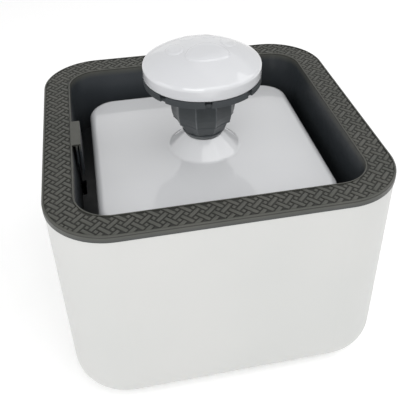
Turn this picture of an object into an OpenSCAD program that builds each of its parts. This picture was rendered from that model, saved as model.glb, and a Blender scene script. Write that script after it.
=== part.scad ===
// Pet water fountain: a square tub with a woven-look rim tray, a drinking plate,
// a fluted nozzle cup under a domed cap, a filter cartridge and a submersible pump.
// Millimetres. +Z is up, the origin is on the floor under the middle of the tub,
// and the front of the fountain faces -Y.

/* [Tub] */
// Width and depth over the rim
fountain_w = 180; // [170:1:200]
// Height of the rim above the floor
rim_h = 124; // [118:1:150]
// Outer corner radius of the rim, seen from above
rim_corner_r = 33.5; // [30:0.5:38]
// Wall of the tub
tub_wall = 2.6; // [2:0.1:3.2]
// Floor of the tub
tub_floor = 3; // [2.2:0.1:4]
// How far each wall leans in towards the floor
tub_draft = 1.4; // [0.5:0.1:3]
// Radius between the tub's walls and its floor, outside
tub_bottom_r = 14; // [8:0.5:18]

/* [Feet] */
// Diameter of a rubber foot pad
foot_d = 16; // [12:1:22]
// How far a pad stands below the tub
foot_proud = 1.2; // [0.8:0.1:2]
// How deep a pad is let into the floor
foot_recess = 1; // [0.6:0.1:1.4]
// Distance of the pads from the middle, along X and Y
foot_place = 54; // [45:1:58]

/* [Rim tray] */
// Width of the flat rim
rim_band = 15.6; // [13:0.2:18]
// Thickness of the rim and of its textured panel
rim_t = 2.2; // [1.8:0.1:3]
// Height of the lip that hides the tub's edge
lip_h = 3.7; // [3:0.1:5]
// Thickness of that lip
lip_t = 1.6; // [1.2:0.1:1.8]
// Depth of the panel that holds the woven texture
panel_depth = 0.6; // [0.3:0.1:0.8]
// Smooth border outside the panel
panel_edge_out = 1.1; // [1:0.1:2]
// Smooth border inside the panel
panel_edge_in = 0.8; // [0.7:0.1:1.5]
// Depth of the bowl, rim to tray floor
bowl_depth = 40; // [36:1:44]
// Wall and floor of the tray
tray_wall = 2; // [1.6:0.1:2.6]
// How far the bowl's walls lean in
bowl_draft = 1; // [0.3:0.1:2]

/* [Drinking plate] */
// Width of the plate
plate_w = 129.4; // [120:0.2:132]
// Corner radius of the plate
plate_corner_r = 16.9; // [12:0.1:20]
// How far the plate lies below the rim
plate_drop = 16.9; // [14:0.1:18]
// Thickness of the plate
plate_t = 2.2; // [1.8:0.1:3]
// Height of the plate's edge
plate_edge_h = 5.4; // [4.6:0.1:5.6]
// Radius of the plate's upper edge
plate_edge_r = 4.2; // [2.5:0.1:4.4]
// Height of the cone in the middle
cone_h = 9; // [7:0.5:12]
// Width of the flat ring on the cone's top
cone_land = 2.2; // [1.8:0.1:3]
// Slope of the cone's side
cone_slope = 42; // [38:1:48]
// Radius where the cone flares into the plate
cone_flare_r = 3; // [2:0.5:5]

/* [Nozzle cup and cap] */
// Radius of the cup's round body
cup_r = 18.2; // [16:0.1:20]
// Wall of the cup
cup_wall = 2.8; // [2.6:0.1:3.2]
// Height of the flange's top over the plate
flange_top = 46; // [43:0.1:48]
// Thickness of the flange
flange_t = 3.6; // [3:0.1:4]
// Radius of the flange
flange_r = 32.4; // [30:0.1:35]
// Number of water slots round the flange
slot_count = 8; // [6:1:10]
// Width of a water slot
slot_w = 4; // [3:0.1:5]
// Depth of a water slot
slot_depth = 1.7; // [1.2:0.1:2]
// Number of flutes round the cup
flute_count = 10; // [8:1:12]
// Depth of a flute
flute_depth = 1.5; // [1:0.1:1.6]
// Depth of the step under the flutes, above the cup's foot
flute_step = 1.1; // [0.6:0.1:1.2]
// Height of that step over the cone
flute_step_h = 10.3; // [9:0.1:12]
// How far the flutes' lower edge stands out over that step
flute_lip = 0.35; // [0.1:0.05:0.5]
// Height of the ring between the flutes and the flange
ring_h = 1.5; // [1:0.1:2]
// Turn of the cup about its axis
cup_turn = -5; // [-20:1:20]
// Radius of the domed cap
cap_r = 32.5; // [30:0.1:35]
// Height of the cap over the flange
cap_h = 17.7; // [15:0.1:20]
// Height of the cap's upright side
cap_side_h = 5.8; // [4:0.1:7]
// Radius between that side and the dome
cap_edge_r = 3; // [2:0.1:4]
// Wall of the cap
cap_wall = 2; // [1.6:0.1:2.4]

/* [Filter cartridge] */
// Width of the cartridge
filter_w = 96; // [90:1:100]
// Height of the cartridge
filter_h = 13; // [12:0.5:15]
// Wall of its case
filter_wall = 1.4; // [1.2:0.1:1.8]
// Thickness of each fleece pad
fleece_t = 2.4; // [1.6:0.1:3]

/* [Pump] */
// Width of the pump
pump_w = 40; // [36:1:44]
// Height of the pump
pump_h = 34; // [32:1:38]
// Length of the pump's housing behind its front cover
pump_l = 44; // [42:1:50]
// Wall of the housing
pump_wall = 1.8; // [1.5:0.1:2.2]
// Depth of the front cover
cover_l = 6; // [5:0.5:7]
// Radius of the impeller
impeller_r = 9.4; // [8.5:0.1:10]
// Number of impeller vanes
vane_count = 6; // [4:1:8]
// Radius of the ceramic shaft
shaft_r = 1; // [0.8:0.1:1.3]
// Inner radius of the riser tube
riser_in_r = 4.6; // [4:0.1:5]
// Wall of the riser tube
riser_wall = 1.6; // [1.2:0.1:1.8]

/* [Cord outlet] */
// Radius of the hole for the cord
cord_hole_r = 1.6; // [1.4:0.1:1.9]
// Width of the notch in the tub's edge
notch_w = 9; // [8:0.5:11]

/* [Hidden] */
$fn = 64;

// Clearances
slip = 0.3;         // between pieces that lift apart
seat = 0.2;         // between pieces that stay together
run = 0.05;         // between a turning piece and its shaft, and under the cap

// Tub and rim tray share the corner centres, so their outlines stay parallel
half = fountain_w / 2;
corner_at = half - rim_corner_r;
tub_z = foot_proud;
joint_z = rim_h - lip_h;
rim_flush = 0.4;                            // how far the rim stands out past the tub
tub_top_x = rim_corner_r - rim_flush;
tub_bot_x = tub_top_x - tub_draft;
tub_in_z = tub_z + tub_floor;
tongue_t = tub_wall - lip_t + rim_flush - slip;
tongue_h = lip_h - rim_t - slip;

bowl_x = rim_corner_r - rim_band;
tray_floor_z = rim_h - bowl_depth;
tray_under_z = tray_floor_z - tray_wall;
rim_edge_r = 0.8;

// Plate and nozzle
plate_z = rim_h - plate_drop;
plate_half = plate_w / 2;
plate_corner_at = plate_half - plate_corner_r;
plate_under_z = plate_z - plate_t;
riser_out_r = riser_in_r + riser_wall;
stem_in_r = riser_out_r + slip;
stem_out_r = stem_in_r + 1.5;
seal_r = 0.5;
seal_proud = 0.2;                           // how far the seal stands out of its stem
seal_at_r = stem_out_r + seal_proud - seal_r;
cone_bore_r = stem_out_r + seal_proud + slip;
cone_top_r = cone_bore_r + cone_land;
cone_top_z = plate_z + cone_h;
cone_side_z = plate_z + cone_flare_r * (1 - cos(cone_slope));
cone_side_r = cone_top_r + (cone_top_z - cone_side_z) / tan(cone_slope);
cone_base_r = cone_side_r + cone_flare_r * sin(cone_slope);
seal_z = cone_top_z - 3.2;
sleeve_in_r = riser_out_r + slip;
sleeve_out_r = sleeve_in_r + 2.3;
sleeve_top_z = tray_floor_z + filter_h + 2;
stem_low_z = sleeve_top_z + 2;
riser_top_z = cone_top_z - 3;

flange_z = plate_z + flange_top;
flange_low_z = flange_z - flange_t;
collar_h = 3.4;
collar_low_r = cone_top_r - 0.6;
collar_top_r = collar_low_r + 2.2;
cup_ball_z = cone_top_z + collar_h + 14;    // middle of the cup's round body
cup_in_r = cup_r - cup_wall;
foot_top_z = cone_top_z + flute_step_h;
foot_lean = 0.4;
foot_flute_depth = 0.8 * flute_depth;
plug_h = 4;

// Filter
filter_half = filter_w / 2;
filter_corner_r = 6;
filter_z = tray_floor_z;
filter_top_z = filter_z + filter_h;
filter_tube_in = sleeve_out_r + slip;
filter_tube_out = filter_tube_in + filter_wall;
media_half = filter_half - filter_wall - seat;
media_hole_r = filter_tube_out + seat;
media_z = filter_z + filter_wall;
lid_z = filter_top_z - filter_wall;
carbon_z = media_z + fleece_t;
carbon_t = lid_z - media_z - 2 * fleece_t;

// Pump: the impeller turns about an axis along Y, under the outlet
cup_gap = 4.6;                              // height of the suction cups under the pump
cup_pin_r = 2;
cup_pin_h = 1.3;
pump_z = tub_in_z + cup_gap;
pump_top_z = pump_z + pump_h;
axle_z = pump_z + pump_h / 2;
pump_front_y = -9;
pump_back_y = pump_front_y + pump_l;
chamber_r = impeller_r + 1.6;
chamber_l = 15;
well_r = 6.2;
well_end_y = pump_front_y + chamber_l + 16;
well_wall = 1.4;
rotor_r = well_r - 0.8;
motor_y = pump_front_y + chamber_l + pump_wall;
pole_y = motor_y + 2;
pole_x = well_r + well_wall + seat;
pole_t = 5;
stack_h = 13;
coil_t = 2;
core_back_y = well_end_y + well_wall + seat + coil_t;
core_end_y = core_back_y + 4;
coil_w = 13;
outlet_r = riser_in_r - run;
outlet_h = 9;
cover_y = pump_front_y - cover_l;
riser_low_z = pump_top_z + 1;
dial_r = 12;
dial_t = 1.6;

// Cord way: notch in the tub's left edge, level with the hood on the tray
notch_y = 1;
hood_depth = 4.5;
hood_half = 12.2;
hood_h = 20;
hood_y = notch_y;
hood_wall = 1;
notch_r = notch_w / 2;
notch_z = joint_z - notch_r - 3.2;      // middle of the cord's hole
tub_wall_mid = half - rim_flush - tub_wall / 2;

// ---------- Shared forms ----------

// Sweeps a section round a rounded square whose corner centres are at +-at.
// The section's x runs outwards from the corner centre and its y runs up.
module sweep_square(at) {
    for (k = [0:3])
        rotate([0, 0, 90 * k]) {
            translate([at, at, 0])
                rotate_extrude(angle = 90)
                    children();
            translate([at, at, 0])
                rotate([90, 0, 0])
                    linear_extrude(2 * at)
                        children();
        }
}

// Section of an open vessel, from the corner centre to its leaning wall,
// with a round bottom edge
module vessel_section(x_top, x_bottom, z_top, z_bottom, r) {
    lean = atan((x_top - x_bottom) / (z_top - z_bottom));
    cx = x_bottom + r * tan(lean) - r / cos(lean);
    cz = z_bottom + r;
    polygon([[0, z_bottom], [cx, z_bottom], [cx + r * cos(lean), cz - r * sin(lean)],
             [x_top, z_top], [0, z_top]]);
    translate([cx, cz])
        circle(r);
}

// Flat rounded square with corner centres at +-at
module round_square(at, r) {
    square([2 * (at + r), 2 * at], center = true);
    square([2 * at, 2 * (at + r)], center = true);
    for (x = [-at, at], y = [-at, at])
        translate([x, y])
            circle(r);
}

// Flat slot with round ends, along X
module slot_2d(l, w) {
    square([l - w, w], center = true);
    for (x = [-1, 1])
        translate([x * (l - w) / 2, 0])
            circle(w / 2);
}

// Four places, one in each quarter
module at_corners(d) {
    for (x = [-d, d], y = [-d, d])
        translate([x, y, 0])
            children();
}

// Rows of slots on a square of half width h, with the middle left free
module drain_slots(h, free_r, pitch, w) {
    rows = floor((h - w) / pitch);
    for (i = [-rows:rows]) {
        y = i * pitch;
        blocked = abs(y) < free_r + w;
        x_in = blocked ? free_r + w : w;
        l = h - x_in;
        for (s = [-1, 1])
            translate([s * (x_in + l / 2), y])
                slot_2d(l, w);
    }
}

// A bar along Y, round about the pump's axle line
module along_axle(y, l, r) {
    translate([0, y, axle_z])
        rotate([-90, 0, 0])
            cylinder(h = l, r = r);
}

// ---------- Tub ----------

module tub_solid() {
    sweep_square(corner_at)
        difference() {
            union() {
                vessel_section(tub_top_x, tub_bot_x, joint_z, tub_z, tub_bottom_r);
                translate([tub_top_x - tub_wall, joint_z - 1])
                    square([tongue_t, tongue_h + 1]);
            }
            vessel_section(tub_top_x - tub_wall, tub_bot_x - tub_wall, joint_z + lip_h,
                           tub_in_z, tub_bottom_r - tub_wall);
        }
    translate([-corner_at, -corner_at, tub_z])
        cube([2 * corner_at, 2 * corner_at, tub_floor]);
}

// U-shaped way through the tub's left edge, round its hole, grown by extra
module cord_notch(extra) {
    translate([-tub_wall_mid - 6, notch_y, notch_z])
        rotate([0, 90, 0]) {
            cylinder(h = 12, r = notch_r + extra);
            translate([-20, -notch_r - extra, 0])
                cube([20, 2 * (notch_r + extra), 12]);
        }
}

module tub() {
    color("whitesmoke")
        difference() {
            tub_solid();
            at_corners(foot_place)
                translate([0, 0, tub_z - 1])
                    cylinder(h = foot_recess + 1, d = foot_d);
            cord_notch(0);
        }
}

module foot_pads() {
    color("dimgray")
        at_corners(foot_place) {
            cylinder(h = foot_proud + foot_recess, d = foot_d - 0.4);
        }
}

// Rubber plug in the notch, flush outside, with a lip behind the wall
module cord_grommet() {
    out_x = tub_wall_mid + tub_wall / 2 - 0.1;
    lip_x = tub_wall_mid - tub_wall / 2 - 0.3;
    lip = 1.2;
    color("black")
        difference() {
            intersection() {
                union() {
                    cord_notch(-seat / 2);
                    translate([-lip_x, notch_y, notch_z])
                        rotate([0, 90, 0])
                            cylinder(h = lip, r = notch_r + lip);
                }
                translate([-out_x, notch_y - 10, notch_z - 10])
                    cube([out_x - lip_x + lip, 20, joint_z - seat - notch_z + 10]);
            }
            translate([-tub_wall_mid - 10, notch_y, notch_z])
                rotate([0, 90, 0])
                    cylinder(h = 20, r = cord_hole_r);
        }
}

// ---------- Rim tray ----------

module rim_section() {
    band_out = rim_corner_r;
    lean = atan(bowl_draft / bowl_depth);
    bowl_low_x = bowl_x - bowl_draft;
    inner_r = 0.5;
    difference() {
        union() {
            // flat rim with round outer and inner edges
            polygon([[bowl_x, rim_h - rim_t], [band_out, rim_h - rim_t],
                     [band_out, rim_h - rim_edge_r], [band_out - rim_edge_r, rim_h],
                     [bowl_x + inner_r, rim_h], [bowl_x, rim_h - inner_r]]);
            translate([band_out - rim_edge_r, rim_h - rim_edge_r])
                circle(rim_edge_r);
            translate([bowl_x + inner_r, rim_h - inner_r])
                circle(inner_r);
            // lip over the tub's edge
            translate([band_out - lip_t, joint_z])
                square([lip_t, lip_h - rim_t + 0.5]);
            // leaning wall of the bowl, down to the tray's floor
            polygon([[bowl_x, rim_h - inner_r], [bowl_x + tray_wall, rim_h - rim_t],
                     [bowl_low_x + tray_wall, tray_under_z], [0, tray_under_z],
                     [0, tray_floor_z], [bowl_low_x, tray_floor_z]]);
        }
        // panel for the woven texture
        translate([bowl_x + panel_edge_in, rim_h - panel_depth])
            square([rim_band - panel_edge_in - panel_edge_out, panel_depth + 1]);
    }
}

module tray_floor_2d() {
    difference() {
        square(2 * corner_at, center = true);
        circle(sleeve_in_r);
        drain_slots(filter_half - 6, sleeve_out_r + 1, 7, 3);
    }
}

// Hood on the bowl's left wall: closed above, in front of the wall and at the
// back end, and open below and at its front end, where a short rib stiffens it
module cord_hood() {
    wall_x = corner_at + bowl_x;
    front_x = wall_x - hood_depth;
    z0 = rim_h - hood_h;
    difference() {
        translate([-wall_x - 0.8, hood_y - hood_half, z0])
            cube([hood_depth + 0.8, 2 * hood_half, hood_h]);
        difference() {
            translate([-wall_x - 2, hood_y - hood_half - 1, z0 - 1])
                cube([hood_depth + 2 - hood_wall, 2 * hood_half + 1 - hood_wall,
                      hood_h + 1 - hood_wall]);
            translate([-front_x - hood_depth / 2 - 0.5, hood_y - hood_half, rim_h - 13])
                cube([0.9, 3, 13]);
        }
    }
}

module rim_tray() {
    wall_x = corner_at + bowl_x;
    color([0.34, 0.34, 0.32])
        difference() {
            union() {
                sweep_square(corner_at)
                    rim_section();
                translate([0, 0, tray_under_z])
                    linear_extrude(tray_wall)
                        tray_floor_2d();
                cord_hood();
                // sleeve that guides the riser tube
                translate([0, 0, tray_under_z - 5])
                    difference() {
                        cylinder(h = sleeve_top_z - tray_under_z + 5, r = sleeve_out_r);
                        translate([0, 0, -1])
                            cylinder(h = sleeve_top_z - tray_under_z + 8, r = sleeve_in_r);
                    }
                // low ribs that keep the filter cartridge in place
                for (k = [0:3])
                    rotate([0, 0, 90 * k])
                        translate([filter_half + slip, -20, tray_floor_z - 0.5])
                            cube([1.6, 40, 4.5]);
            }
            // way for the cord, up inside the hood and out through the bowl's wall
            translate([-wall_x, hood_y - 5, tray_under_z - 1])
                cube([hood_depth - hood_wall, 14, rim_h - 9 - tray_under_z + 1]);
            translate([-wall_x - 4, hood_y, rim_h - 13])
                rotate([0, 90, 0])
                    cylinder(h = 4.2, r = 3.4);
        }
}

// ---------- Drinking plate ----------

module plate_section() {
    x = plate_corner_r;
    difference() {
        union() {
            polygon([[0, plate_z - plate_edge_h], [x, plate_z - plate_edge_h],
                     [x, plate_z - plate_edge_r], [x - plate_edge_r, plate_z],
                     [0, plate_z]]);
            translate([x - plate_edge_r, plate_z - plate_edge_r])
                intersection() {
                    circle(plate_edge_r);
                    square(plate_edge_r);
                }
        }
        translate([-1, plate_z - plate_edge_h - 1])
            square([x - plate_t + 1, plate_edge_h + 1 - plate_t]);
    }
}

// Section of the cone: a straight side that flares into the plate
module cone_section() {
    difference() {
        polygon([[0, plate_under_z], [cone_base_r, plate_under_z], [cone_base_r, plate_z],
                 [cone_side_r, cone_side_z], [cone_top_r, cone_top_z], [0, cone_top_z]]);
        translate([cone_base_r, plate_z + cone_flare_r])
            circle(cone_flare_r);
        // hollow under the cone
        polygon([[0, plate_under_z - 1], [cone_side_r - 1, plate_under_z - 1],
                 [cone_side_r - 1, plate_under_z], [cone_top_r - 0.6, cone_top_z - 3],
                 [0, cone_top_z - 3]]);
    }
}

module drinking_plate() {
    leg_r = 3.2;
    leg_at = plate_half - 8.5;
    color("white")
        difference() {
            union() {
                sweep_square(plate_corner_at)
                    plate_section();
                translate([-plate_corner_at, -plate_corner_at, plate_under_z])
                    cube([2 * plate_corner_at, 2 * plate_corner_at, plate_t]);
                rotate_extrude()
                    cone_section();
                // legs that stand on the tray's floor outside the filter
                at_corners(leg_at - 3)
                    translate([0, 0, tray_floor_z])
                        cylinder(h = plate_under_z - tray_floor_z + 0.5, r = leg_r);
            }
            translate([0, 0, plate_under_z - 1])
                cylinder(h = cone_h + plate_t + 2, r = cone_bore_r);
        }
}

// ---------- Nozzle ----------

// Silicone ring in a groove of the stem, inside the cone's bore
module nozzle_seal() {
    color("black")
        translate([0, 0, seal_z])
            rotate_extrude()
                translate([seal_at_r, 0])
                    circle(seal_r, $fn = 24);
}

// Radius of the cup's round body at height z: a ball below, upright above
function cup_ball_r(z) =
    z >= cup_ball_z ? cup_r : sqrt(cup_r * cup_r - pow(cup_ball_z - z, 2));

// How far a flute is cut in at angle a: nothing on a ridge, all of it in the middle
function flute_cut(a) = let (t = a * flute_count / 360 + 0.5, u = 2 * (t - floor(t)) - 1)
    1 - u * u;

// Radius of the foot of the flutes, under the step, where the side leans in
function foot_side_r(z, cut) = cup_ball_r(foot_top_z) - flute_step
    - foot_lean * (foot_top_z - z) - foot_flute_depth * cut;

// Height where that side meets the ball, lowest in the middle of a flute
function foot_edge_z(cut) =
    let (b = foot_side_r(0, cut), m = foot_lean, h = m * b - cup_ball_z, q = m * m + 1)
        (-h - sqrt(h * h - q * (b * b + cup_ball_z * cup_ball_z - cup_r * cup_r))) / q;

// One column of the cup's outside, as [radius, height], from the collar to the flange
function cup_column(cut, low_z, high_z) =
    let (edge_z = max(foot_edge_z(cut), low_z + 0.2), lip_z = foot_top_z + 0.35)
        concat([for (i = [0:3]) let (z = low_z + (edge_z - low_z) * i / 3)
                    [min(cup_ball_r(z), foot_side_r(z, cut)), z]],
               [for (i = [1:4]) let (z = edge_z + (foot_top_z - edge_z) * i / 4)
                    [foot_side_r(z, cut), z]],
               [[cup_ball_r(lip_z) - flute_depth * cut + flute_lip, lip_z]],
               [for (i = [0:7])
                    let (z = lip_z + 0.7 + (high_z - lip_z - 0.7) * pow(i / 7, 1.3))
                        [cup_ball_r(z) - flute_depth * cut, z]]);

// The fluted body is a loft of such columns: upright flutes that end in a step,
// and under it a foot whose flutes run out on the ball in a scalloped edge
module cup_loft(low_z, high_z) {
    per_flute = 10;
    n = flute_count * per_flute;
    columns = [for (k = [0:n - 1]) cup_column(flute_cut(360 * k / n + 90), low_z, high_z)];
    last = len(columns[0]) - 1;
    points = [for (i = [0:last], k = [0:n - 1])
        let (a = 360 * k / n, c = columns[k][i])
            [c[0] * cos(a), c[0] * sin(a), c[1]]];
    sides = [for (i = [0:last - 1], k = [0:n - 1])
        let (k2 = (k + 1) % n)
            [i * n + k, (i + 1) * n + k, (i + 1) * n + k2, i * n + k2]];
    ends = [[for (k = [0:n - 1]) k], [for (k = [n - 1:-1:0]) last * n + k]];
    polyhedron(points, concat(sides, ends));
}

module cup_body() {
    low_z = cone_top_z + collar_h;
    difference() {
        cup_loft(low_z, flange_low_z + 0.5);
        rotate_extrude()
            intersection() {
                translate([0, cup_ball_z])
                    circle(cup_in_r, $fn = 128);
                translate([0, low_z + 1.4])
                    square([cup_r, cup_ball_z - low_z - 1.4]);
            }
        translate([0, 0, cup_ball_z])
            cylinder(h = flange_top, r = cup_in_r);
    }
}

// Collar that stands on the cone
module cup_collar() {
    translate([0, 0, cone_top_z])
        cylinder(h = collar_h - 0.6, r1 = collar_low_r, r2 = collar_top_r);
    translate([0, 0, cone_top_z + collar_h - 0.6])
        cylinder(h = 0.8, r = collar_top_r);
}

module nozzle_cup() {
    stem_hole_top = cone_top_z - 1;
    color([0.25, 0.26, 0.27])
        rotate([0, 0, cup_turn])
            difference() {
                union() {
                    cup_body();
                    cup_collar();
                    translate([0, 0, flange_low_z - ring_h])
                        linear_extrude(ring_h + 0.5)
                            difference() {
                                circle(cup_r + 0.3);
                                circle(cup_in_r);
                            }
                    translate([0, 0, flange_low_z])
                        linear_extrude(flange_t)
                            difference() {
                                circle(flange_r);
                                circle(cup_in_r);
                            }
                    // stem that slides over the riser tube
                    translate([0, 0, stem_low_z])
                        cylinder(h = cone_top_z + 1 - stem_low_z, r = stem_out_r);
                }
                translate([0, 0, stem_low_z - 1])
                    cylinder(h = stem_hole_top - stem_low_z + 1, r = stem_in_r);
                translate([0, 0, stem_hole_top - 2])
                    cylinder(h = 12, r = riser_in_r);
                // groove for the seal
                translate([0, 0, seal_z])
                    rotate_extrude()
                        translate([stem_out_r - 0.4, 0])
                            circle(seal_r + 0.15, $fn = 24);
                // water slots round the flange: a channel from the cup that ends in
                // a shallow spout down the flange's edge
                for (k = [0:slot_count - 1])
                    rotate([0, 0, -90 + 360 / slot_count * k]) {
                        translate([cup_in_r - 1, -slot_w / 2, flange_z - slot_depth])
                            cube([flange_r, slot_w, slot_depth + 1]);
                        translate([flange_r - 1.2, -slot_w / 2 + 0.4, flange_low_z - 1])
                            cube([6, slot_w - 0.8, flange_t + 2]);
                    }
            }
}

// Section of the cap's outside: upright side, round edge and dome
module cap_section(r, h, side, edge) {
    sag_r = r - 1.35;                       // where the round edge meets the dome
    dome_h = h - side - edge * 0.82;
    dome_r = (sag_r * sag_r + dome_h * dome_h) / (2 * dome_h);
    dome_z = h - dome_r;
    edge_z = dome_z + sqrt(pow(dome_r - edge, 2) - pow(r - edge, 2));
    reach = dome_r / (dome_r - edge);
    polygon([[0, 0], [r, 0], [r, edge_z], [(r - edge) * reach,
             dome_z + (edge_z - dome_z) * reach], [0, dome_z + (edge_z - dome_z) * reach]]);
    translate([r - edge, edge_z])
        circle(edge);
    intersection() {
        translate([0, dome_z])
            circle(dome_r, $fn = 256);
        translate([0, dome_z + (edge_z - dome_z) * reach - 0.01])
            square([(r - edge) * reach, h]);
    }
}

module dome_cap() {
    ledge_w = 3.2;
    h = cap_h - run;
    color("white")
        translate([0, 0, flange_z + run]) {
            rotate_extrude()
                difference() {
                    cap_section(cap_r, h, cap_side_h, cap_edge_r);
                    difference() {
                        translate([0, -0.01])
                            cap_section(cap_r - cap_wall, h - cap_wall, cap_side_h,
                                        cap_edge_r - 1);
                        translate([cap_r - cap_wall - ledge_w, -1])
                            square([ledge_w + 1, 2.6]);
                    }
                    // soft lower edge
                    translate([cap_r - 1.2, -0.01])
                        difference() {
                            square([2, 1.2]);
                            translate([0, 1.2])
                                circle(1.2);
                        }
                }
            // split ring that plugs into the cup, open at every water channel
            difference() {
                translate([0, 0, -plug_h])
                    cylinder(h = plug_h + h - cap_wall - 1.5, r = cup_in_r - slip);
                translate([0, 0, -plug_h - 1])
                    cylinder(h = plug_h + cap_h, r = cup_in_r - slip - 1.6);
                for (k = [0:slot_count - 1])
                    rotate([0, 0, cup_turn - 90 + 360 / slot_count * k])
                        translate([0, -slot_w / 2 - 0.4, -plug_h - 1])
                            cube([cup_r, slot_w + 0.8, plug_h + 6]);
            }
        }
}

// ---------- Filter cartridge ----------

module filter_case() {
    color("white")
        difference() {
            union() {
                translate([0, 0, filter_z])
                    linear_extrude(filter_wall)
                        difference() {
                            round_square(filter_half - filter_corner_r, filter_corner_r);
                            drain_slots(filter_half - 5, filter_tube_out + 1, 7, 3);
                        }
                translate([0, 0, filter_z])
                    linear_extrude(lid_z - filter_z)
                        difference() {
                            round_square(filter_half - filter_corner_r, filter_corner_r);
                            round_square(filter_half - filter_corner_r,
                                         filter_corner_r - filter_wall);
                        }
                translate([0, 0, filter_z])
                    cylinder(h = lid_z - filter_z, r = filter_tube_out);
            }
            translate([0, 0, filter_z - 1])
                cylinder(h = filter_h + 2, r = filter_tube_in);
        }
}

module filter_lid() {
    color("white")
        translate([0, 0, lid_z])
            linear_extrude(filter_wall)
                difference() {
                    round_square(filter_half - filter_corner_r, filter_corner_r);
                    circle(filter_tube_in);
                    drain_slots(filter_half - 5, filter_tube_out + 1, 7, 3);
                }
}

module filter_layer(z, t) {
    translate([0, 0, z])
        linear_extrude(t)
            difference() {
                round_square(media_half - filter_corner_r + 1.6, filter_corner_r - 1.6);
                circle(media_hole_r);
            }
}

module filter_fleece_top() {
    color("ivory")
        filter_layer(carbon_z + carbon_t, fleece_t);
}

module filter_carbon() {
    color("black")
        filter_layer(carbon_z, carbon_t);
}

module filter_fleece_bottom() {
    color("ivory")
        filter_layer(media_z, fleece_t);
}

// ---------- Pump ----------

module riser_tube() {
    color("lightgray")
        translate([0, 0, riser_low_z])
            difference() {
                cylinder(h = riser_top_z - riser_low_z, r = riser_out_r);
                translate([0, 0, -1])
                    cylinder(h = riser_top_z - riser_low_z + 2, r = riser_in_r);
            }
}

module pump_block(y, l, inset) {
    w = pump_w - 2 * inset;
    h = pump_h - 2 * inset;
    r = 5 - inset;
    translate([0, y + l, pump_z + pump_h / 2])
        rotate([90, 0, 0])
            linear_extrude(l) {
                square([w - 2 * r, h], center = true);
                square([w, h - 2 * r], center = true);
                for (x = [-1, 1], z = [-1, 1])
                    translate([x * (w / 2 - r), z * (h / 2 - r)])
                        circle(r);
            }
}

module pump_housing() {
    color([0.16, 0.16, 0.17])
        difference() {
            union() {
                difference() {
                    pump_block(pump_front_y, pump_l, 0);
                    // motor space, filled with potting
                    pump_block(motor_y, pump_l, pump_wall);
                }
                // wall of the rotor well
                along_axle(motor_y - 0.5, well_end_y + well_wall - motor_y + 0.5,
                           well_r + well_wall);
                // outlet spigot
                translate([0, 0, pump_top_z - 1])
                    cylinder(h = outlet_h + 1, r = outlet_r);
            }
            along_axle(pump_front_y - 1, chamber_l + 1, chamber_r);
            along_axle(pump_front_y, well_end_y - pump_front_y, well_r);
            translate([0, 0, axle_z])
                cylinder(h = pump_top_z + outlet_h + 1 - axle_z, r = outlet_r - 1.2);
            // sockets for the suction cups
            translate([0, (pump_front_y + pump_back_y) / 2, pump_z - 1])
                cup_places()
                    cylinder(h = cup_pin_h + 1.1, r = cup_pin_r + 0.1);
        }
}

module cup_places() {
    for (x = [-13, 13], y = [-16, 16])
        translate([x, y, 0])
            children();
}

// Front cover with its intake windows and the seat of the flow dial
module pump_front_cover() {
    color([0.16, 0.16, 0.17])
        difference() {
            union() {
                pump_block(cover_y, cover_l, 0);
                // spigot that centres the cover in the chamber
                along_axle(cover_y + 1, cover_l + 1.4, chamber_r - 0.2);
            }
            // hollow behind the face
            along_axle(cover_y + 2, cover_l + 2, chamber_r - 1.6);
            intake_windows(cover_y - 1, 4);
            // hole for the dial's snap pin
            along_axle(cover_y - 1, 4, 2.05);
        }
    color([0.16, 0.16, 0.17])
        cover_spider();
}

// Three legs behind the windows that carry the front bush
module cover_spider() {
    difference() {
        union() {
            along_axle(cover_y + 3.6, 3, 3.2);
            for (k = [0:2])
                translate([0, cover_y + 4.4, axle_z])
                    rotate([0, 120 * k + 30, 0])
                        translate([1.5, 0, -0.8])
                            cube([chamber_r - 2.4, 2.2, 1.6]);
        }
        along_axle(cover_y + 3, 6, shaft_r + 1);
    }
}

module intake_windows(y, l) {
    for (k = [0:2])
        translate([0, y, axle_z])
            rotate([0, 120 * k - 30, 0])
                rotate([-90, 0, 0])
                    linear_extrude(l)
                        window_2d();
}

// Window between two radii, 60 degrees wide
module window_2d() {
    r_in = 4.2;
    r_out = 9.6;
    intersection() {
        difference() {
            circle(r_out);
            circle(r_in);
        }
        polygon([[0, 0], [20 * cos(30), 20 * sin(30)], [20, 0],
                 [20 * cos(30), -20 * sin(30)]]);
    }
}

// Disc with the same windows: turning it narrows the intake
module flow_dial() {
    color("gray")
        difference() {
            union() {
                along_axle(cover_y - dial_t - 0.2, dial_t, dial_r - 0.6);
                // thumb tab
                translate([-2, cover_y - dial_t - 0.2, axle_z])
                    cube([4, dial_t, dial_r + 3.4]);
                translate([-2, cover_y - dial_t - 2.4, axle_z + dial_r + 1.4])
                    cube([4, 2.4, 2]);
                along_axle(cover_y - dial_t - 0.2, dial_t + 2, 2);
            }
            intake_windows(cover_y - dial_t - 1.2, dial_t + 2);
        }
}

// Hub with curved-back vanes on the magnet's sleeve
module impeller() {
    plate_y = pump_front_y + chamber_l - 4;
    vane_l = 8;
    hub_y = cover_y + 7;
    color("white")
        difference() {
            union() {
                along_axle(plate_y, 1.2, impeller_r);
                along_axle(hub_y, plate_y + 1 - hub_y, 2.8);
                along_axle(plate_y, well_end_y - 1.2 - plate_y, 2.6);
                for (k = [0:vane_count - 1])
                    translate([0, plate_y, axle_z])
                        rotate([0, 360 / vane_count * k, 0])
                            rotate([90, 0, 0])
                                linear_extrude(vane_l)
                                    vane_2d();
            }
            along_axle(hub_y - 1, 60, shaft_r + run);
        }
}

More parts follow.
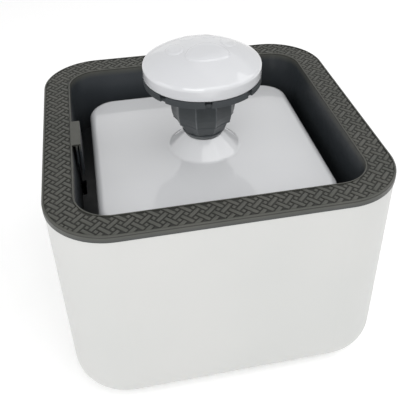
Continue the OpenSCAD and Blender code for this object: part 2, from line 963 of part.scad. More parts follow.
// One vane: a piece of a ring, bent back
module vane_2d() {
    bend_r = impeller_r * 0.8;
    vane_t = 1;
    intersection() {
        translate([impeller_r * 0.55, -bend_r * 0.85])
            difference() {
                circle(bend_r + vane_t / 2);
                circle(bend_r - vane_t / 2);
            }
        polygon([[1.8, -2], [impeller_r, -8], [impeller_r + 3, 3], [1.8, 3]]);
        circle(impeller_r - 0.05);
    }
}

module rotor_magnet() {
    magnet_y = pump_front_y + chamber_l + 1;
    color("dimgray")
        difference() {
            along_axle(magnet_y, well_end_y - 2 - magnet_y, rotor_r);
            along_axle(magnet_y - 1, 60, 2.6);
        }
}

module pump_shaft() {
    color("ivory")
        along_axle(cover_y + 4, well_end_y - 0.2 - cover_y - 4, shaft_r);
}

// Rubber bushes that hold the shaft's two ends
module shaft_bushes() {
    color("black") {
        difference() {
            along_axle(cover_y + 3.8, 2.8, shaft_r + 0.95);
            along_axle(cover_y + 4, 4, shaft_r);
        }
        difference() {
            along_axle(well_end_y - 1.0, 1.0, well_r - run);
            along_axle(well_end_y - 2, 1.8, shaft_r);
        }
    }
}

// Laminated U: its two poles stand beside the rotor well and its back carries the coil
module stator_core() {
    color("silver")
        translate([0, 0, axle_z - stack_h / 2])
            difference() {
                translate([-pole_x - pole_t, pole_y, 0])
                    cube([2 * (pole_x + pole_t), core_end_y - pole_y, stack_h]);
                translate([-pole_x, pole_y - 1, -1])
                    cube([2 * pole_x, core_back_y - pole_y + 1, stack_h + 2]);
            }
}

// A block round the core's back, grown by t on every side and w wide
module core_wrap(w, t) {
    translate([-w / 2, core_back_y - t, axle_z - stack_h / 2 - t])
        cube([w, core_end_y - core_back_y + 2 * t, stack_h + 2 * t]);
}

// Winding round the core's back
module stator_coil() {
    color([0.72, 0.42, 0.2])
        difference() {
            core_wrap(coil_w, coil_t);
            core_wrap(coil_w + 2, seat / 2);
        }
}

// Resin that fills the motor space and seals its open back
module pump_potting() {
    color([0.1, 0.1, 0.1])
        difference() {
            pump_block(motor_y + 0.1, pump_back_y - 1 - motor_y, pump_wall + 0.05);
            along_axle(motor_y - 1, well_end_y + well_wall - motor_y + 1.1,
                       well_r + well_wall + 0.1);
            // space for the core and the coil
            translate([-pole_x - pole_t - 0.1, pole_y - 0.1, axle_z - stack_h / 2 - 0.1])
                cube([2 * (pole_x + pole_t + 0.1), core_end_y - pole_y + 0.2,
                      stack_h + 0.2]);
            core_wrap(coil_w + 0.2, coil_t + 0.1);
        }
}

// Tapered rubber nub where the cord leaves the pump
module pump_cord_gland() {
    color("black")
        translate([9, pump_back_y - 0.9, pump_top_z - 8])
            rotate([-90, 0, 0])
                difference() {
                    union() {
                        cylinder(h = 2.4, r = 4);
                        translate([0, 0, 2.4])
                            cylinder(h = 7, r1 = 3.2, r2 = 2.4);
                    }
                    translate([0, 0, 1])
                        cylinder(h = 9, r = 1.6);
                }
}

// Four cups between the pump and the tub's floor, each with a pin in the housing
module suction_cups() {
    pin_z = cup_gap + cup_pin_h;
    color([0.85, 0.85, 0.85, 0.7])
        translate([0, (pump_front_y + pump_back_y) / 2, tub_in_z])
            cup_places()
                rotate_extrude()
                    polygon([[0, 1.3], [3.4, 1.1], [6.6, 0], [6.9, 0.5], [3.4, 2.2],
                             [cup_pin_r, 3.2], [cup_pin_r, pin_z], [0, pin_z]]);
}

// Foam sleeve that slips over the pump from the front
module prefilter_foam() {
    gap = 0.6;
    foam_t = 5;
    front = cover_y - 6;
    w = pump_w + 2 * (gap + foam_t);
    top = pump_top_z + gap + foam_t;
    color([0.2, 0.2, 0.22])
        difference() {
            translate([-w / 2, front - foam_t, tub_in_z + 0.3])
                cube([w, pump_back_y - 12 - front + foam_t, top - tub_in_z - 0.3]);
            translate([-w / 2 + foam_t, front, tub_in_z - 1])
                cube([w - 2 * foam_t, pump_l + 60, top - foam_t - tub_in_z + 1]);
            translate([0, 0, pump_top_z - 2])
                cylinder(h = 20, r = riser_out_r + 0.6);
        }
}

// ---------- Selection ----------

tub();
foot_pads();
cord_grommet();
rim_tray();
drinking_plate();
nozzle_seal();
nozzle_cup();
dome_cap();
filter_case();
filter_lid();
filter_fleece_top();
filter_carbon();
filter_fleece_bottom();
riser_tube();
pump_housing();
pump_front_cover();
flow_dial();
impeller();
rotor_magnet();
pump_shaft();
shaft_bushes();
stator_core();
stator_coil();
pump_potting();
pump_cord_gland();
suction_cups();
prefilter_foam();
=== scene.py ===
"""Pet water fountain: its finishes, lights and fine forms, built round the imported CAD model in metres."""

import math

import bmesh
import bpy
from mathutils import Matrix, Vector


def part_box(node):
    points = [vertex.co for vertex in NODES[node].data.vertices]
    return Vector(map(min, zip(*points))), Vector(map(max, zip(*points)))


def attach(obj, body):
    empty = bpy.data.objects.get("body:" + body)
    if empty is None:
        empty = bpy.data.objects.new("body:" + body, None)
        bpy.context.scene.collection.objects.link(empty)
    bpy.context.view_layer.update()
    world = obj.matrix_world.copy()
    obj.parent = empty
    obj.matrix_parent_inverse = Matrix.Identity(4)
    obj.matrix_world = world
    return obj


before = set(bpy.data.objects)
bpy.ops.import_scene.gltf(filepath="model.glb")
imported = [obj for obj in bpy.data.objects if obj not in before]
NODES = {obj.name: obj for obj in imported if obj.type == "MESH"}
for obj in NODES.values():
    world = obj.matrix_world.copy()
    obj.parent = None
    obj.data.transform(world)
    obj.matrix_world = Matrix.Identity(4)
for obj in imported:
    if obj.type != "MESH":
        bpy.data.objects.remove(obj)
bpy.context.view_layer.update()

MM = 0.001

# Main places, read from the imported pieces
RIM_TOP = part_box("rim_tray")[1].z
HALF_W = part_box("rim_tray")[1].x
CAP_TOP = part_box("dome_cap")[1].z

# The nozzle cup: flutes with a ridge every tenth of a turn, from a step up to the ring under the flange
CUP_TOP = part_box("nozzle_cup")[1].z
FLANGE_THICK = 3.6 * MM
RING_HEIGHT = 1.5 * MM
STEP_DROP = 26.7 * MM                   # from the flange's top down to the step
FLANGE_LOW = CUP_TOP - FLANGE_THICK
RING_Z = FLANGE_LOW - RING_HEIGHT
STEP_Z = CUP_TOP - STEP_DROP
FLUTE_ANGLE = math.radians(36)
FLUTE_TURN = math.radians(-5)

# Rim outline: a rounded square whose corner arcs share their centres with the bowl's
RIM_CORNER_R = 33.5 * MM
CORNER_AT = HALF_W - RIM_CORNER_R
RIM_BAND = 15.6 * MM
BOWL_CORNER_R = RIM_CORNER_R - RIM_BAND
PANEL_Z = RIM_TOP - 0.6 * MM            # floor of the sunk panel that the weave fills
PANEL_OUT = RIM_CORNER_R - 1.1 * MM
PANEL_IN = BOWL_CORNER_R + 0.8 * MM


# ---------- Small tools ----------

def srgb(red, green, blue):
    """Linear colour of an 8-bit screen colour."""
    def linear(c):
        c /= 255
        return c / 12.92 if c <= 0.04045 else ((c + 0.055) / 1.055) ** 2.4
    return (linear(red), linear(green), linear(blue), 1.0)


def once(things):
    """Each thing once, in the order given."""
    return list(dict.fromkeys(things))


def in_scene(name, data):
    """A new object of that data, in the scene."""
    made = bpy.data.objects.new(name, data)
    bpy.context.scene.collection.objects.link(made)
    return made


def put_in_order(parts, place_of):
    """Sorts a bmesh's parts by place, because some operators make them in another order each run."""
    for number, part in enumerate(sorted(parts, key=lambda part: tuple(round(c, 7) for c in place_of(part)))):
        part.index = number
    parts.sort()


def mesh_from(bm, name, material):
    """Makes a bmesh into a mesh of one material."""
    put_in_order(bm.verts, lambda vert: vert.co)
    put_in_order(bm.edges, lambda edge: edge.verts[0].co + edge.verts[1].co)
    put_in_order(bm.faces, lambda face: face.calc_center_median())
    mesh = bpy.data.meshes.new(name)
    bm.to_mesh(mesh)
    bm.free()
    mesh.materials.append(material)
    return mesh


def piece_from(bm, name, body, material, sharp_angle):
    """A named piece that rides on a body, smooth but for edges steeper than sharp_angle, in degrees."""
    mesh = mesh_from(bm, name, material)
    mesh.shade_smooth()
    mesh.set_sharp_from_angle(angle=math.radians(sharp_angle))
    piece = in_scene(name, mesh)
    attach(piece, body)


# ---------- Shader groups ----------

def new_group(name, inputs, outputs):
    """An empty shader node group with those sockets: name to (type, value)."""
    group = bpy.data.node_groups.new(name, "ShaderNodeTree")
    for label, (kind, value) in inputs.items():
        socket = group.interface.new_socket(name=label, in_out="INPUT", socket_type=kind)
        socket.default_value = value
    for label, kind in outputs.items():
        group.interface.new_socket(name=label, in_out="OUTPUT", socket_type=kind)
    return group, group.nodes.new("NodeGroupInput"), group.nodes.new("NodeGroupOutput")


def feed(tree, socket, value):
    """Links an input to another node's output, or sets it to a value."""
    if isinstance(value, bpy.types.NodeSocket):
        tree.links.new(value, socket)
    else:
        socket.default_value = value


def feed_all(tree, node, **values):
    """Feeds a node's inputs by name; underscores stand for spaces."""
    for label, value in values.items():
        feed(tree, node.inputs[label.replace("_", " ")], value)


def noise_of(tree, vector, scale, detail=3.0, roughness=0.55):
    """A noise texture of that scale on a vector."""
    node = tree.nodes.new("ShaderNodeTexNoise")
    feed_all(tree, node, Vector=vector, Scale=scale, Detail=detail, Roughness=roughness)
    return node.outputs["Fac"]


def mix_colour(tree, factor, first, second, mode="MIX"):
    """A colour mix; each argument is a socket or a value."""
    node = tree.nodes.new("ShaderNodeMix")
    node.data_type = "RGBA"
    node.blend_type = mode
    for place, value in ((0, factor), (6, first), (7, second)):
        feed(tree, node.inputs[place], value)
    return node.outputs[2]


def map_range(tree, value, low, high, to_low, to_high):
    """A clamped linear map of a value."""
    node = tree.nodes.new("ShaderNodeMapRange")
    feed_all(tree, node, Value=value, From_Min=low, From_Max=high, To_Min=to_low, To_Max=to_high)
    return node.outputs["Result"]


def maths(tree, operation, first, second=0.0):
    """One math node; each argument is a socket or a value."""
    node = tree.nodes.new("ShaderNodeMath")
    node.operation = operation
    feed(tree, node.inputs[0], first)
    feed(tree, node.inputs[1], second)
    return node.outputs[0]


def height_in(tree, vector):
    """The Z of a vector."""
    split = tree.nodes.new("ShaderNodeSeparateXYZ")
    tree.links.new(vector, split.inputs[0])
    return split.outputs["Z"]


def build_moulded_surface():
    """Moulded plastic: slow colour drift, fine tool grain and uneven gloss."""
    group, given, out = new_group(
        "moulded_surface",
        {"Vector": ("NodeSocketVector", (0, 0, 0)), "Colour": ("NodeSocketColor", (0.8, 0.8, 0.8, 1)),
         "Drift Colour": ("NodeSocketColor", (0.7, 0.7, 0.7, 1)), "Drift Scale": ("NodeSocketFloat", 20.0),
         "Grain Scale": ("NodeSocketFloat", 1500.0), "Gloss Low": ("NodeSocketFloat", 0.3),
         "Gloss High": ("NodeSocketFloat", 0.4)},
        {"Colour": "NodeSocketColor", "Roughness": "NodeSocketFloat", "Height": "NodeSocketFloat"})
    vector = given.outputs["Vector"]
    drift = noise_of(group, vector, given.outputs["Drift Scale"], 2.0)
    drift = map_range(group, drift, 0.35, 0.65, 0.0, 1.0)
    colour = mix_colour(group, drift, given.outputs["Colour"], given.outputs["Drift Colour"])
    grain = noise_of(group, vector, given.outputs["Grain Scale"], 2.0, 0.6)
    gloss = noise_of(group, vector, maths(group, "MULTIPLY", given.outputs["Drift Scale"], 6.0), 3.0)
    rough = map_range(group, gloss, 0.3, 0.7, given.outputs["Gloss Low"], given.outputs["Gloss High"])
    feed_all(group, out, Colour=colour, Roughness=rough, Height=grain)
    return group


def build_grains():
    """Packed grains or open cells: each has its own tone, and painted shade sets how dark its middle and its
    edge are.
    """
    group, given, out = new_group(
        "grains",
        {"Vector": ("NodeSocketVector", (0, 0, 0)), "Colour": ("NodeSocketColor", (0.05, 0.05, 0.05, 1)),
         "Other Colour": ("NodeSocketColor", (0.1, 0.1, 0.1, 1)), "Scale": ("NodeSocketFloat", 800.0),
         "Middle": ("NodeSocketFloat", 1.0), "Edge": ("NodeSocketFloat", 0.3)},
        {"Colour": "NodeSocketColor", "Height": "NodeSocketFloat"})
    cells = group.nodes.new("ShaderNodeTexVoronoi")
    feed_all(group, cells, Vector=given.outputs["Vector"], Scale=given.outputs["Scale"])
    tone = group.nodes.new("ShaderNodeSeparateColor")
    group.links.new(cells.outputs["Color"], tone.inputs[0])
    colour = mix_colour(group, tone.outputs["Red"], given.outputs["Colour"], given.outputs["Other Colour"])
    # Painted shade: Middle and Edge set how dark a cell is painted at its middle and at its edge; the same
    # values serve as its height.
    shade = map_range(group, cells.outputs["Distance"], 0.15, 0.7,
                      given.outputs["Middle"], given.outputs["Edge"])
    feed_all(group, out, Colour=mix_colour(group, 1.0, colour, shade, "MULTIPLY"), Height=shade)
    return group


def build_layers():
    """Even layers along X with a dark gap between each two, as stacked sheets or turns of wire."""
    group, given, out = new_group(
        "layers",
        {"Vector": ("NodeSocketVector", (0, 0, 0)), "Colour": ("NodeSocketColor", (0.5, 0.5, 0.5, 1)),
         "Scale": ("NodeSocketFloat", 600.0), "Gap": ("NodeSocketFloat", 0.4)},
        {"Colour": "NodeSocketColor", "Height": "NodeSocketFloat"})
    wave = group.nodes.new("ShaderNodeTexWave")
    feed_all(group, wave, Vector=given.outputs["Vector"], Scale=given.outputs["Scale"])
    shade = map_range(group, wave.outputs["Fac"], 0.0, 0.4, given.outputs["Gap"], 1.0)
    colour = mix_colour(group, 1.0, given.outputs["Colour"], shade, "MULTIPLY")
    feed_all(group, out, Colour=colour, Height=wave.outputs["Fac"])
    return group


MOULDED_SURFACE = build_moulded_surface()
GRAINS = build_grains()
LAYERS = build_layers()


# ---------- Materials ----------

def new_material(name):
    """A material with its Principled shader, node tree and object coordinates."""
    material = bpy.data.materials.new(name)
    material.use_nodes = True
    tree = material.node_tree
    shader = tree.nodes["Principled BSDF"]
    vector = tree.nodes.new("ShaderNodeTexCoord").outputs["Object"]
    return material, tree, shader, vector


def finish_shader(tree, shader, colour, roughness, height, depth, **values):
    """Feeds the shader its colour, its roughness and a bump of that height, depth in mm; values go by name."""
    bump = tree.nodes.new("ShaderNodeBump")
    feed_all(tree, bump, Strength=1.0, Distance=depth * MM, Height=height)
    feed_all(tree, shader, Base_Color=colour, Roughness=roughness, Normal=bump.outputs["Normal"], **values)


def place_group(tree, group, vector, **values):
    """Places a shader group on a vector and feeds its inputs by name."""
    node = tree.nodes.new("ShaderNodeGroup")
    node.node_tree = group
    feed_all(tree, node, Vector=vector, **values)
    return node


def moulded_plastic(name, colour, drift, gloss, grain=1500.0, grain_depth=0.01, drift_scale=20.0,
                    coat=0.0, specular=0.5):
    """A moulded plastic; gloss is its lowest and highest roughness, grain_depth is in mm."""
    material, tree, shader, vector = new_material(name)
    marks = place_group(tree, MOULDED_SURFACE, vector, Colour=colour, Drift_Colour=drift,
                        Drift_Scale=drift_scale, Grain_Scale=grain, Gloss_Low=gloss[0], Gloss_High=gloss[1])
    finish_shader(tree, shader, marks.outputs["Colour"], marks.outputs["Roughness"], marks.outputs["Height"],
                  grain_depth, Coat_Weight=coat, Coat_Roughness=0.05, Specular_IOR_Level=specular)
    return material


def granular(name, colour, other, size, depth, middle, edge, roughness, specular):
    """Loose grains or open foam; size and depth are in mm, roughness is that of the low and the high parts."""
    material, tree, shader, vector = new_material(name)
    grains = place_group(tree, GRAINS, vector, Colour=colour, Other_Colour=other, Scale=1 / (size * MM),
                         Middle=middle, Edge=edge)
    rough = map_range(tree, grains.outputs["Height"], 0.0, 1.0, *roughness)
    finish_shader(tree, shader, grains.outputs["Colour"], rough, grains.outputs["Height"], depth,
                  Specular_IOR_Level=specular)
    return material


def layered_metal(name, colour, drift, pitch, axis, gap, gloss):
    """Metal in even layers along X or Z, with uneven tone and gloss; pitch is in mm."""
    material, tree, shader, vector = new_material(name)
    marks = place_group(tree, MOULDED_SURFACE, vector, Colour=colour, Drift_Colour=drift, Drift_Scale=160.0,
                        Gloss_Low=gloss[0], Gloss_High=gloss[1])
    turned = tree.nodes.new("ShaderNodeMapping")
    feed_all(tree, turned, Vector=vector, Rotation=(0, math.pi / 2 if axis == "Z" else 0, 0))
    layers = place_group(tree, LAYERS, turned.outputs["Vector"], Colour=marks.outputs["Colour"],
                         Scale=math.pi / (10 * pitch * MM), Gap=gap)
    finish_shader(tree, shader, layers.outputs["Colour"], marks.outputs["Roughness"],
                  layers.outputs["Height"], 0.08, Metallic=1.0)
    return material


def needled_fleece():
    """White filter fleece: tangled fibres with soft hollows."""
    material, tree, shader, vector = new_material("needled_fleece")
    tangle = tree.nodes.new("ShaderNodeTexNoise")
    feed_all(tree, tangle, Vector=vector, Scale=420.0, Detail=6.0, Distortion=3.0)
    fibres = map_range(tree, tangle.outputs["Fac"], 0.35, 0.65, 0.0, 1.0)
    colour = mix_colour(tree, fibres, srgb(205, 206, 202), srgb(242, 242, 239))
    rough = map_range(tree, fibres, 0.0, 1.0, 0.95, 0.8)
    finish_shader(tree, shader, colour, rough, fibres, 0.3, Specular_IOR_Level=0.2)
    return material


def tray_plastic():
    """Charcoal plastic, warm on the rim, with painted shade: a darker bluish copy down the bowl's walls, darker
    in the weave's grooves and darker still deep in the bowl.
    """
    material, tree, shader, vector = new_material("tray_plastic")
    rim = place_group(tree, MOULDED_SURFACE, vector, Colour=srgb(80, 80, 75), Drift_Colour=srgb(75, 76, 71),
                      Drift_Scale=60.0, Grain_Scale=2600.0, Gloss_Low=0.4, Gloss_High=0.5)
    # Painted shade: the walls get a darker, bluer copy of the rim's plastic; only their lower roughness is the
    # plastic's own.
    shaded_wall = place_group(tree, MOULDED_SURFACE, vector, Colour=srgb(53, 57, 61), Drift_Colour=srgb(48, 52, 55),
                       Drift_Scale=30.0, Grain_Scale=1800.0, Gloss_Low=0.3, Gloss_High=0.42)
    height = height_in(tree, vector)
    on_rim = map_range(tree, height, RIM_TOP - 5.0 * MM, RIM_TOP - 1.0 * MM, 0.0, 1.0)
    # Painted shade in the weave's grooves, darker towards the panel floor between the bars.
    painted_groove_shade = map_range(tree, height, PANEL_Z + 0.05 * MM, PANEL_Z + 0.45 * MM, 0.36, 1.0)
    below_rim = maths(tree, "LESS_THAN", height, PANEL_Z - 0.3 * MM)
    shade = maths(tree, "MAXIMUM", painted_groove_shade, below_rim)
    # Painted shade deep in the bowl: the colour darkens towards the bowl's floor.
    depth = map_range(tree, height, RIM_TOP - 42.0 * MM, RIM_TOP - 24.0 * MM, 0.3, 1.0)
    colour = mix_colour(tree, on_rim, shaded_wall.outputs["Colour"], rim.outputs["Colour"])
    colour = mix_colour(tree, 1.0, colour, maths(tree, "MULTIPLY", shade, depth), "MULTIPLY")
    rough = map_range(tree, on_rim, 0.0, 1.0, shaded_wall.outputs["Roughness"], rim.outputs["Roughness"])
    finish_shader(tree, shader, colour, rough, rim.outputs["Height"], 0.02, Specular_IOR_Level=0.36)
    return material


def fluted_plastic():
    """Dark plastic of the nozzle, with painted highlights along the ridges between its flutes, the step and the
    ring.
    """
    material, tree, shader, vector = new_material("nozzle_plastic")
    marks = place_group(tree, MOULDED_SURFACE, vector, Colour=srgb(66, 69, 72), Drift_Colour=srgb(60, 64, 66),
                        Drift_Scale=40.0, Grain_Scale=1800.0, Gloss_Low=0.3, Gloss_High=0.38)
    split = tree.nodes.new("ShaderNodeSeparateXYZ")
    tree.links.new(vector, split.inputs[0])
    height = split.outputs["Z"]
    angle = maths(tree, "ARCTAN2", split.outputs["Y"], split.outputs["X"])
    turns = maths(tree, "ADD", maths(tree, "DIVIDE", angle, FLUTE_ANGLE), 0.5 - FLUTE_TURN / FLUTE_ANGLE)
    off_ridge = maths(tree, "ABSOLUTE", maths(tree, "SUBTRACT", maths(tree, "FRACT", turns), 0.5))
    # Painted highlights: lighter along each ridge between the flutes, along the step and over the ring under
    # the flange.
    ridge = map_range(tree, off_ridge, 0.014, 0.05, 1.0, 0.0)
    on_flutes = maths(tree, "MULTIPLY", maths(tree, "GREATER_THAN", height, STEP_Z),
                      maths(tree, "LESS_THAN", height, RING_Z))
    off_step = maths(tree, "ABSOLUTE", maths(tree, "SUBTRACT", height, STEP_Z))
    step = map_range(tree, off_step, 0.25 * MM, 0.7 * MM, 1.0, 0.0)
    on_ring = maths(tree, "MULTIPLY", maths(tree, "GREATER_THAN", height, RING_Z),
                    maths(tree, "LESS_THAN", height, FLANGE_LOW + 0.05 * MM))
    painted_highlight = maths(tree, "MAXIMUM", maths(tree, "MULTIPLY", ridge, on_flutes), step)
    painted_highlight = maths(tree, "MAXIMUM", painted_highlight, on_ring)
    # The painted highlight, made patchy, lightens the colour towards a pale grey.
    patchy = map_range(tree, noise_of(tree, vector, 160.0, 2.0), 0.35, 0.65, 0.3, 0.85)
    colour = mix_colour(tree, maths(tree, "MULTIPLY", painted_highlight, patchy), marks.outputs["Colour"],
                        srgb(102, 106, 109))
    finish_shader(tree, shader, colour, marks.outputs["Roughness"], marks.outputs["Height"], 0.012)
    return material


TRAY = tray_plastic()
TUB = moulded_plastic("tub_plastic", srgb(197, 197, 195), srgb(193, 194, 192), (0.34, 0.42),
                      grain=900.0, grain_depth=0.02, drift_scale=9.0)
PLATE = moulded_plastic("plate_plastic", srgb(214, 215, 217), srgb(211, 212, 214), (0.13, 0.18),
                        grain=500.0, grain_depth=0.004, drift_scale=12.0, coat=1.0)
CAP = moulded_plastic("cap_plastic", srgb(208, 209, 211), srgb(205, 206, 209), (0.12, 0.17),
                      grain=500.0, grain_depth=0.004, drift_scale=14.0, coat=0.8)
NOZZLE = fluted_plastic()
FILTER_CASE = moulded_plastic("filter_plastic", srgb(228, 230, 232), srgb(220, 223, 226), (0.3, 0.4),
                              grain=1200.0, grain_depth=0.01)
PUMP = moulded_plastic("pump_plastic", srgb(34, 34, 36), srgb(28, 28, 30), (0.42, 0.55),
                       grain=2000.0, grain_depth=0.03)
DIAL = moulded_plastic("dial_plastic", srgb(120, 121, 122), srgb(110, 111, 112), (0.4, 0.5))
IMPELLER = moulded_plastic("impeller_plastic", srgb(232, 230, 222), srgb(226, 224, 216), (0.25, 0.35))
RISER = moulded_plastic("riser_plastic", srgb(214, 218, 220), srgb(206, 210, 213), (0.18, 0.26), coat=0.3)
RUBBER = moulded_plastic("black_rubber", srgb(34, 34, 34), srgb(44, 43, 42), (0.62, 0.78),
                         grain=2400.0, grain_depth=0.03, specular=0.35)
CLEAR_RUBBER = moulded_plastic("clear_rubber", srgb(206, 206, 200), srgb(196, 196, 190), (0.3, 0.45))
RESIN = moulded_plastic("cast_resin", srgb(22, 22, 24), srgb(30, 30, 32), (0.15, 0.3), grain=300.0)
MAGNET = moulded_plastic("ground_ferrite", srgb(62, 62, 64), srgb(50, 50, 52), (0.45, 0.6), grain=3200.0)
CERAMIC = moulded_plastic("ground_ceramic", srgb(232, 228, 214), srgb(226, 221, 206), (0.2, 0.3))
FLEECE = needled_fleece()
# Painted shade: dark gaps between the carbon grains and dark pores in the foam.
CARBON = granular("carbon_granules", srgb(26, 26, 27), srgb(58, 58, 60), 1.6, 0.6, 1.0, 0.25, (0.9, 0.45), 0.4)
FOAM = granular("open_foam", srgb(50, 50, 54), srgb(38, 38, 41), 0.9, 0.5, 0.2, 1.0, (0.95, 0.8), 0.25)
STEEL = layered_metal("lamination_steel", srgb(150, 152, 156), srgb(128, 130, 134), 0.5, "Z", 0.45, (0.3, 0.45))
COPPER = layered_metal("enamelled_copper", srgb(176, 104, 62), srgb(150, 84, 48), 0.35, "X", 0.35, (0.22, 0.32))


# ---------- Finishes on the CAD pieces ----------

FINISHES = {
    "tub": TUB, "foot_pads": RUBBER, "cord_grommet": RUBBER, "rim_tray": TRAY, "drinking_plate": PLATE,
    "nozzle_seal": RUBBER, "nozzle_cup": NOZZLE, "dome_cap": CAP, "filter_case": FILTER_CASE,
    "filter_lid": FILTER_CASE, "filter_fleece_top": FLEECE, "filter_carbon": CARBON,
    "filter_fleece_bottom": FLEECE, "riser_tube": RISER, "pump_housing": PUMP, "pump_front_cover": PUMP,
    "flow_dial": DIAL, "impeller": IMPELLER, "rotor_magnet": MAGNET, "pump_shaft": CERAMIC,
    "shaft_bushes": RUBBER, "stator_core": STEEL, "stator_coil": COPPER, "pump_potting": RESIN,
    "pump_cord_gland": RUBBER, "suction_cups": CLEAR_RUBBER, "prefilter_foam": FOAM,
}
for node, material in FINISHES.items():
    for place in NODES[node].material_slots:
        place.material = material


# ---------- Woven rim ----------

WEAVE_STEP = 3.815 * MM                 # spacing of the pattern along X and along Y
WEAVE_START = Vector((-50.2, -77.15)) * MM
BAR_LENGTH = 7.35 * MM
BAR_WIDTH = 2.0 * MM
DOT_SIZE = 1.9 * MM
BAR_FOOT = 0.1 * MM                     # how far a bar's foot sinks into the panel
BAR_SIDE = 0.18 * MM                    # upright part of its side, over the panel
BAR_STEPS = ((0.28, 0.25), (0.38, 0.13))    # inset and rise of its shoulder and its crown, in mm
PANEL_GAP = 0.2 * MM                    # between the weave and the panel's borders
SLIVER_WIDTH = 0.9 * MM                 # narrower cut pieces are left out
NARROW_WIDTH = 1.6 * MM                 # narrower cut pieces get smaller insets
NARROW_SHARE = 0.4


def ring_place(x, y):
    """Distance from the square of the corner centres, and the way outwards."""
    qx, qy = abs(x) - CORNER_AT, abs(y) - CORNER_AT
    side = Vector((math.copysign(1, x), math.copysign(1, y)))
    if qx > 0 and qy > 0:
        away = Vector((qx, qy))
        return away.length, Vector((side.x * qx, side.y * qy)) / away.length
    if qx > qy:
        return qx, Vector((side.x, 0))
    return qy, Vector((0, side.y))


def weave_places():
    """Centre, length, width and turn of every bar and dot of the basket weave over the rim."""
    reach = int(HALF_W / WEAVE_STEP) + 2
    start_i, start_j = round(WEAVE_START.x / WEAVE_STEP), round(WEAVE_START.y / WEAVE_STEP)
    for i in range(-reach - start_i, reach - start_i):
        for j in range(-reach - start_j, reach - start_j):
            centre = WEAVE_START + Vector((i, j)) * WEAVE_STEP
            if (i + j) % 2 == 0:
                yield centre, DOT_SIZE, DOT_SIZE, 45
            else:
                yield centre, BAR_LENGTH, BAR_WIDTH, -45 if i % 2 else 45


def clip_bar(bm, faces, point, normal):
    """Cuts off what of a flat bar lies beyond a line."""
    geom = faces + once(e for f in faces for e in f.edges) + once(v for f in faces for v in f.verts)
    bmesh.ops.bisect_plane(bm, geom=geom, plane_co=point.to_3d(), plane_no=normal.to_3d(), clear_outer=True)


def mean_width(face):
    """A face's area over its longest edge."""
    return face.calc_area() / max(edge.calc_length() for edge in face.edges)


def rim_weave():
    """Low pillowed bars and dots that fill the rim's panel."""
    bm = bmesh.new()
    slack = BAR_LENGTH / 2
    for centre, length, width, angle in weave_places():
        if max(abs(centre.x), abs(centre.y)) > HALF_W + slack:
            continue
        at, outwards = ring_place(*centre)
        if not PANEL_IN - slack < at < PANEL_OUT + slack:
            continue
        place = Matrix.Translation(centre.to_3d()) @ Matrix.Rotation(math.radians(angle), 4, "Z")
        place = place @ Matrix.Diagonal((length, width, 1, 1))
        made = bmesh.ops.create_grid(bm, x_segments=1, y_segments=1, size=0.5, matrix=place)
        faces = once(f for vert in made["verts"] for f in vert.link_faces)
        if at > PANEL_OUT - slack:
            clip_bar(bm, faces, centre + outwards * (PANEL_OUT - PANEL_GAP - at), outwards)
            faces = [f for f in faces if f.is_valid]
        if at < PANEL_IN + slack and faces:
            clip_bar(bm, faces, centre + outwards * (PANEL_IN + PANEL_GAP - at), -outwards)
    slivers = [f for f in bm.faces if mean_width(f) < SLIVER_WIDTH]
    bmesh.ops.delete(bm, geom=slivers, context="FACES")
    bmesh.ops.remove_doubles(bm, verts=bm.verts[:], dist=0.05 * MM)
    bmesh.ops.translate(bm, verts=bm.verts[:], vec=(0, 0, PANEL_Z - BAR_FOOT))
    feet = bm.faces[:]
    raised = bmesh.ops.extrude_face_region(bm, geom=feet, use_keep_orig=True)["geom"]
    bmesh.ops.reverse_faces(bm, faces=feet)
    tops = [g for g in raised if isinstance(g, bmesh.types.BMFace)]
    bmesh.ops.translate(bm, verts=[g for g in raised if isinstance(g, bmesh.types.BMVert)],
                        vec=(0, 0, BAR_FOOT + BAR_SIDE))
    whole = [f for f in tops if mean_width(f) > NARROW_WIDTH]
    narrow = [f for f in tops if mean_width(f) <= NARROW_WIDTH]
    for faces, share in ((whole, 1.0), (narrow, NARROW_SHARE)):
        for inset, rise in BAR_STEPS:
            bmesh.ops.inset_individual(bm, faces=faces, thickness=share * inset * MM, depth=rise * MM)
    bmesh.ops.recalc_face_normals(bm, faces=bm.faces[:])
    piece_from(bm, "rim_weave", "tray", TRAY, 80)


rim_weave()


# ---------- Raised paw on the cap ----------

DOME_R = 56.36 * MM                     # radius of the cap's dome
PAD_FOOT = 0.06 * MM                    # how far a pad's edge sinks into the dome
PAD_TAPER = 0.22                        # how much the big pad narrows towards the toes
PAD_STEPS = (                           # inset in mm and share of the rise, from a pad's edge inwards
    (0.3, 0.14), (0.3, 0.34), (0.35, 0.34), (0.5, 0.14), (0.7, 0.04),
)
BIG_PAD = 10                            # half width in mm that only the big pad exceeds
PAW_PADS = (                            # centre X and Y, half width, half height, turn in degrees, rise; in mm
    (1.4, -8.0, 12.2, 8.8, 4, 0.75), (-14.8, 0.2, 4.9, 6.8, 18, 0.75), (-6.2, 11.8, 4.7, 6.2, 7, 0.4),
    (5.6, 12.8, 4.7, 6.2, -6, 0.4), (15.0, 3.4, 4.8, 6.6, -18, 0.5),
)


def dome_height(x, y):
    """Height of the cap's dome over a place, in metres."""
    return CAP_TOP - DOME_R + math.sqrt(DOME_R ** 2 - x * x - y * y)


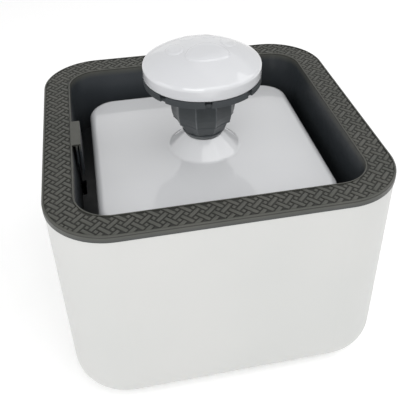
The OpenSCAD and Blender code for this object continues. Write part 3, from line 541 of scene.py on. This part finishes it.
def cap_paw():
    """A soft raised paw, one big pad and four toes, that lies on the dome."""
    bm = bmesh.new()
    for x, y, half_w, half_h, turn, pad_rise in PAW_PADS:
        place = Matrix.Translation((x * MM, y * MM, 0)) @ Matrix.Rotation(math.radians(turn), 4, "Z")
        size = Matrix.Diagonal((half_w * MM, half_h * MM, 1, 1))
        made = bmesh.ops.create_circle(bm, cap_ends=True, segments=40, radius=1.0, matrix=place @ size)
        big = half_w > BIG_PAD
        if big:
            for vert in made["verts"]:
                ahead = (vert.co.y - y * MM) / (half_h * MM)
                vert.co.x = x * MM + (vert.co.x - x * MM) * (1 - PAD_TAPER * ahead)
        pad = once(f for vert in made["verts"] for f in vert.link_faces)
        for inset, share in PAD_STEPS:
            bmesh.ops.inset_individual(bm, faces=pad, thickness=inset * MM, depth=share * pad_rise * MM)
        for inset in (1.0, 1.0) if big else (0.4,):
            bmesh.ops.inset_individual(bm, faces=pad, thickness=inset * MM)
        bmesh.ops.poke(bm, faces=pad)
    for vert in bm.verts:
        vert.co.z += dome_height(vert.co.x, vert.co.y) - PAD_FOOT
    bmesh.ops.recalc_face_normals(bm, faces=bm.faces[:])
    if sum(f.normal.z for f in bm.faces) < 0:
        bmesh.ops.reverse_faces(bm, faces=bm.faces[:])
    piece_from(bm, "cap_paw", "cap", CAP, 60)


cap_paw()


# ---------- Floor, light and camera ----------

def floor():
    """A wide pale floor under the feet."""
    bm = bmesh.new()
    bmesh.ops.create_grid(bm, x_segments=2, y_segments=2, size=4.0)
    material, tree, shader, vector = new_material("pale_floor")
    tone = mix_colour(tree, noise_of(tree, vector, 3.0), (0.93, 0.93, 0.93, 1), (0.95, 0.95, 0.95, 1))
    feed_all(tree, shader, Base_Color=tone, Roughness=0.9, Specular_IOR_Level=0.1,
             Emission_Color=(1, 1, 1, 1), Emission_Strength=0.16)
    in_scene("floor", mesh_from(bm, "floor", material))


ROOM_LOW = 0.77                         # brightness of the room at floor height and overhead
ROOM_HIGH = 0.54
LIGHT_TARGET = Vector((0, 0, 0.1))
LIGHTS = (                              # name, place, side in metres, power in watts
    ("left_front_light", (-0.45, -0.88, 0.7), 0.7, 4.4),
    ("right_light", (0.94, -0.13, 0.8), 0.9, 2.9),
    ("front_light", (0.25, -0.7, 1.1), 0.9, 3.1),
    ("left_light", (-1.1, -0.1, 0.5), 0.7, 1.5),
    ("back_light", (0.1, 1.1, 0.5), 0.7, 0.3),
    ("overhead_light", (0.45, 0.3, 1.0), 0.9, 0.85),
)


def area_light(name, place, size, power):
    """A soft square light that faces the fountain."""
    data = bpy.data.lights.new(name, "AREA")
    data.size = size
    data.energy = power
    light = in_scene(name, data)
    light.location = place
    light.rotation_euler = (LIGHT_TARGET - Vector(place)).to_track_quat("-Z", "Y").to_euler()


def studio():
    """A white room, a little brighter at floor height, and big soft lights, two of them in front."""
    world = bpy.data.worlds.new("white_room")
    world.use_nodes = True
    room = world.node_tree
    direction = room.nodes.new("ShaderNodeTexCoord").outputs["Generated"]
    strength = map_range(room, height_in(room, direction), 0.0, 0.8, ROOM_LOW, ROOM_HIGH)
    feed_all(room, room.nodes["Background"], Color=(1, 1, 1, 1), Strength=strength)
    bpy.context.scene.world = world
    for light in LIGHTS:
        area_light(*light)
    bpy.context.scene.view_settings.view_transform = "Standard"


def camera():
    """The camera above the front edge, a little to the left of the middle."""
    eye = Vector((-54.12, -310.98, 317.45)) * MM
    ahead = Vector((0.1759, 0.8033, -0.5690)).normalized()
    up = Vector((0.1240, 0.5554, 0.8223))
    right = ahead.cross(up).normalized()
    up = right.cross(ahead)
    data = bpy.data.cameras.new("camera")
    data.sensor_width = 36.0
    data.lens = 55.12
    data.shift_x = -0.0416
    data.shift_y = -0.1333
    data.clip_start = 0.01
    viewer = in_scene("camera", data)
    axes = Matrix((right, up, -ahead)).transposed().to_4x4()
    viewer.matrix_world = Matrix.Translation(eye) @ axes
    bpy.context.scene.camera = viewer


floor()
studio()
camera()
